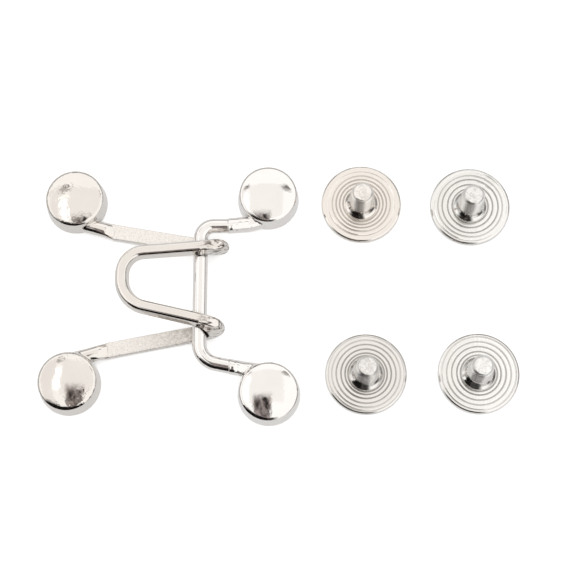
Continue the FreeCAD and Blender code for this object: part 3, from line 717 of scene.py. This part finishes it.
def strip_mask(t, co):
    """1 on the two flat strips, low down and right of the necks."""
    sep = node(t, "ShaderNodeSeparateXYZ", -1000, 700)
    t.links.new(co.outputs["Object"], sep.inputs["Vector"])
    low = node(t, "ShaderNodeMapRange", -800, 700)      # only below the tongue
    low.inputs["From Min"].default_value = 0.00175
    low.inputs["From Max"].default_value = 0.00155
    t.links.new(sep.outputs["Z"], low.inputs["Value"])
    right = node(t, "ShaderNodeMapRange", -800, 900)    # right of the necks
    right.inputs["From Min"].default_value = -0.0294
    right.inputs["From Max"].default_value = -0.0288
    t.links.new(sep.outputs["X"], right.inputs["Value"])
    both = node(t, "ShaderNodeMath", -600, 800, operation="MULTIPLY")
    t.links.new(low.outputs["Result"], both.inputs[0])
    t.links.new(right.outputs["Result"], both.inputs[1])
    return both.outputs["Value"], 0.35


m_hook = nickel("nickel_plate_hook", (0.850, 0.812, 0.772), 0.055, strip_mask, peel=1.0)
m_bar = nickel("nickel_plate_bar", (0.925, 0.90, 0.88), 0.050, peel=0.35)
hook_piece.data.materials.append(m_hook)
bar_piece.data.materials.append(m_bar)
for ob, row in zip(stud_pieces, STUDS):
    ob.data.materials.append(nickel("nickel_plate_" + row[0], row[6], 0.075, peel=0.35, stud=True))


# ---------------------------------------------------------------- the studio
def plain(name, colour, rough=0.6):
    mat = bpy.data.materials.new(name)
    mat.use_nodes = True
    sh = mat.node_tree.nodes["Principled BSDF"]
    sh.inputs["Base Color"].default_value = (*colour, 1)
    sh.inputs["Roughness"].default_value = rough
    return mat


def plane(name, half, z=0.0):
    me = bpy.data.meshes.new(name)
    me.from_pydata([(-half, -half, z), (half, -half, z), (half, half, z), (-half, half, z)],
                   [], [(0, 1, 2, 3)])
    ob = bpy.data.objects.new(name, me)
    bpy.context.scene.collection.objects.link(ob)
    return ob


# The sheet that the set lies on.  The one that the camera sees is lit from
# below, as a light table; the metal reflects the plain, unlit one.
floor = plane("floor", 6.0, -0.00002)
m = plain("pale_floor", (0.93, 0.93, 0.93), 0.8)
sh = m.node_tree.nodes["Principled BSDF"]
sh.inputs["Emission Color"].default_value = (1, 1, 1, 1)
sh.inputs["Emission Strength"].default_value = 0.42
floor.data.materials.append(m)
floor.visible_glossy = False
sheet = plane("floor_in_reflections", 6.0, -0.00004)
m = plain("pale_sheet", (0.84, 0.84, 0.84), 0.8)
sh = m.node_tree.nodes["Principled BSDF"]
sh.inputs["Emission Color"].default_value = (1, 1, 1, 1)
sh.inputs["Emission Strength"].default_value = 0.16
sheet.data.materials.append(m)
sheet.visible_camera = False
sheet.visible_diffuse = False
sheet.visible_shadow = False

world = bpy.data.worlds.new("tent")
bpy.context.scene.world = world
world.use_nodes = True
wt = world.node_tree
bg = wt.nodes["Background"]
bg.inputs["Strength"].default_value = 1.0
# tone of the tent's wall by height above the table, and a dark band low down
wco = wt.nodes.new("ShaderNodeTexCoord")
wsep = wt.nodes.new("ShaderNodeSeparateXYZ")
wt.links.new(wco.outputs["Generated"], wsep.inputs["Vector"])
wh = wt.nodes.new("ShaderNodeValToRGB")
wt.links.new(wsep.outputs["Z"], wh.inputs["Fac"])
cr = wh.color_ramp
cr.elements[0].position, cr.elements[0].color = 0.0, (0, 0, 0, 1)
cr.elements[1].position, cr.elements[1].color = 1.0, (1, 1, 1, 1)
e = cr.elements.new(0.14); e.color = (0, 0, 0, 1)
e = cr.elements.new(0.30); e.color = (1, 1, 1, 1)
# how dark that band is, by direction: an angle from -180 to 180 degrees
wat = wt.nodes.new("ShaderNodeMath")
wat.operation = "ARCTAN2"
wt.links.new(wsep.outputs["Y"], wat.inputs[0])
wt.links.new(wsep.outputs["X"], wat.inputs[1])
wturn = wt.nodes.new("ShaderNodeMapRange")
wturn.inputs["From Min"].default_value = -math.pi
wturn.inputs["From Max"].default_value = math.pi
wt.links.new(wat.outputs["Value"], wturn.inputs["Value"])
wband = wt.nodes.new("ShaderNodeValToRGB")
wt.links.new(wturn.outputs["Result"], wband.inputs["Fac"])
BAND = [(-180, 0.40), (-158, 0.04), (-98, 0.04), (-72, 0.60), (-50, 0.70), (-36, 0.10),
        (-4, 0.10), (20, 0.30), (90, 0.26), (150, 0.34), (180, 0.40)]
cr = wband.color_ramp
cr.elements[0].position, cr.elements[1].position = 0.0, 1.0
for a_deg, level in BAND:
    pos = (a_deg + 180) / 360
    el = cr.elements[0] if pos == 0 else cr.elements[-1] if pos == 1 else cr.elements.new(pos)
    el.color = (level, level * 0.98, level * 0.95, 1)
wmix = wt.nodes.new("ShaderNodeMix")
wmix.data_type = "RGBA"
wt.links.new(wh.outputs["Color"], wmix.inputs["Factor"])
wt.links.new(wband.outputs["Color"], wmix.inputs["A"])
wmix.inputs["B"].default_value = (1.12, 1.11, 1.09, 1)
wt.links.new(wmix.outputs["Result"], bg.inputs["Color"])


def card(name, corners, colour, dark=None, soft=0.1, rounded=False, patch=4.0):
    """A panel or flag of the tent, given by three corners in millimetres
    (first, along, across), seen in reflections only.  Its tone fades out
    over the outer part, and may be mottled between two colours."""
    p0, p1, p2 = [Vector(c) * MM for c in corners]
    ux, uy = (p1 - p0) / 2, (p2 - p0) / 2
    mid = p0 + ux + uy
    uz = ux.cross(uy).normalized() * MM
    me = bpy.data.meshes.new(name)
    me.from_pydata([(-1, -1, 0), (1, -1, 0), (1, 1, 0), (-1, 1, 0)], [], [(0, 1, 2, 3)])
    ob = bpy.data.objects.new(name, me)
    bpy.context.scene.collection.objects.link(ob)
    ob.matrix_world = Matrix(((ux.x, uy.x, uz.x, mid.x), (ux.y, uy.y, uz.y, mid.y),
                              (ux.z, uy.z, uz.z, mid.z), (0, 0, 0, 1)))
    mat = bpy.data.materials.new(name)
    mat.use_nodes = True
    t = mat.node_tree
    t.nodes.clear()
    out = t.nodes.new("ShaderNodeOutputMaterial")
    em = t.nodes.new("ShaderNodeEmission")
    em.inputs["Strength"].default_value = 1.0
    co = t.nodes.new("ShaderNodeTexCoord")
    if dark:
        nz = t.nodes.new("ShaderNodeTexNoise")
        nz.inputs["Scale"].default_value = patch
        nz.inputs["Detail"].default_value = 3.0
        t.links.new(co.outputs["Object"], nz.inputs["Vector"])
        rp = t.nodes.new("ShaderNodeValToRGB")
        rp.color_ramp.elements[0].position, rp.color_ramp.elements[1].position = 0.38, 0.62
        rp.color_ramp.elements[0].color = (*dark, 1)
        rp.color_ramp.elements[1].color = (*colour, 1)
        t.links.new(nz.outputs["Fac"], rp.inputs["Fac"])
        t.links.new(rp.outputs["Color"], em.inputs["Color"])
    else:
        em.inputs["Color"].default_value = (*colour, 1)
    if rounded:
        ln = t.nodes.new("ShaderNodeVectorMath")
        ln.operation = "LENGTH"
        t.links.new(co.outputs["Object"], ln.inputs[0])
        reach = ln.outputs["Value"]
    else:
        ab = t.nodes.new("ShaderNodeVectorMath")
        ab.operation = "ABSOLUTE"
        t.links.new(co.outputs["Object"], ab.inputs[0])
        sp = t.nodes.new("ShaderNodeSeparateXYZ")
        t.links.new(ab.outputs["Vector"], sp.inputs["Vector"])
        mx = t.nodes.new("ShaderNodeMath")
        mx.operation = "SMOOTH_MAX"
        mx.inputs[2].default_value = 0.15
        t.links.new(sp.outputs["X"], mx.inputs[0])
        t.links.new(sp.outputs["Y"], mx.inputs[1])
        reach = mx.outputs["Value"]
    fade = t.nodes.new("ShaderNodeMapRange")
    fade.interpolation_type = "SMOOTHSTEP"
    fade.inputs["From Min"].default_value = 1.0
    fade.inputs["From Max"].default_value = 1.0 - soft
    t.links.new(reach, fade.inputs["Value"])
    tr = t.nodes.new("ShaderNodeBsdfTransparent")
    mixs = t.nodes.new("ShaderNodeMixShader")
    t.links.new(fade.outputs["Result"], mixs.inputs["Fac"])
    t.links.new(tr.outputs["BSDF"], mixs.inputs[1])
    t.links.new(em.outputs["Emission"], mixs.inputs[2])
    t.links.new(mixs.outputs["Shader"], out.inputs["Surface"])
    me.materials.append(mat)
    ob.visible_camera = False
    ob.visible_diffuse = False
    ob.visible_shadow = False
    ob.visible_transmission = False
    ob.visible_volume_scatter = False
    return ob


# overhead diffuser, a little warmer than the tent's white walls
card("diffuser", [(-78, -42, 112), (52, -42, 112), (-78, 95, 112)], (1.01, 0.985, 0.955), soft=0.18)
# clamps at its far corners
card("clamp_left", [(-104, 62, 103), (-60, 68, 103), (-104, 98, 103)], (0.60, 0.57, 0.54),
     dark=(0.16, 0.14, 0.13), soft=0.7, rounded=True, patch=1.4)
card("clamp_right", [(34, 64, 111), (92, 50, 111), (34, 106, 111)], (0.50, 0.47, 0.44),
     dark=(0.10, 0.09, 0.08), soft=0.7, rounded=True, patch=1.3)
# bright strip light on the left
card("strip_light", [(-98, -36, 104), (-64, -36, 104), (-98, 60, 104)], (1.6, 1.6, 1.58), soft=0.55)
card("wall_left", [(-170, -70, 108), (-92, -70, 108), (-170, 110, 108)], (0.97, 0.94, 0.91), soft=0.15)
# the dark side of the room, beyond the stand
card("room", [(-560, -170, -40), (230, -640, -40), (-440, -110, 470)], (0.06, 0.055, 0.05),
     dark=(0.008, 0.007, 0.006), soft=0.60, patch=3.0)
# dark stand in front, from the table up to the lamp head
card("stand_head", [(-58, -190, 108), (9, -190, 108), (-58, 1, 108)], (0.42, 0.36, 0.34),
     dark=(0.02, 0.016, 0.015), soft=0.36, patch=2.6)
card("stand_lens", [(-23, -32, 107), (-7, -32, 107), (-23, -16, 107)], (0.01, 0.008, 0.008),
     soft=0.5, rounded=True)
card("stand_base", [(-88, -44, -2), (-2, -57, -2), (-88, -50, 47)], (0.005, 0.004, 0.004), soft=0.10)

# ---------------------------------------------------------------- the camera
cam = bpy.data.cameras.new("camera")
cam.sensor_width = 36.0
cam.lens = 93.75
cam.clip_start, cam.clip_end = 0.01, 20.0
co = bpy.data.objects.new("camera", cam)
bpy.context.scene.collection.objects.link(co)
R = Vector((0.99996192, 0.0, -0.00872654))
U = Vector((0.00218495, 0.96814764, 0.25037047))
F = Vector((-0.00844857, 0.25038, -0.96811078))
P = Vector((3.756, -64.274, 252.774)) * MM
co.matrix_world = Matrix(((R.x, U.x, -F.x, P.x), (R.y, U.y, -F.y, P.y),
                          (R.z, U.z, -F.z, P.z), (0, 0, 0, 1)))
bpy.context.scene.camera = co

sc = bpy.context.scene
sc.view_settings.view_transform = "Standard"
sc.view_settings.look = "None"
sc.view_settings.exposure = 0.0
sc.view_settings.gamma = 1.0
sc.cycles.max_bounces = 16
sc.cycles.glossy_bounces = 12
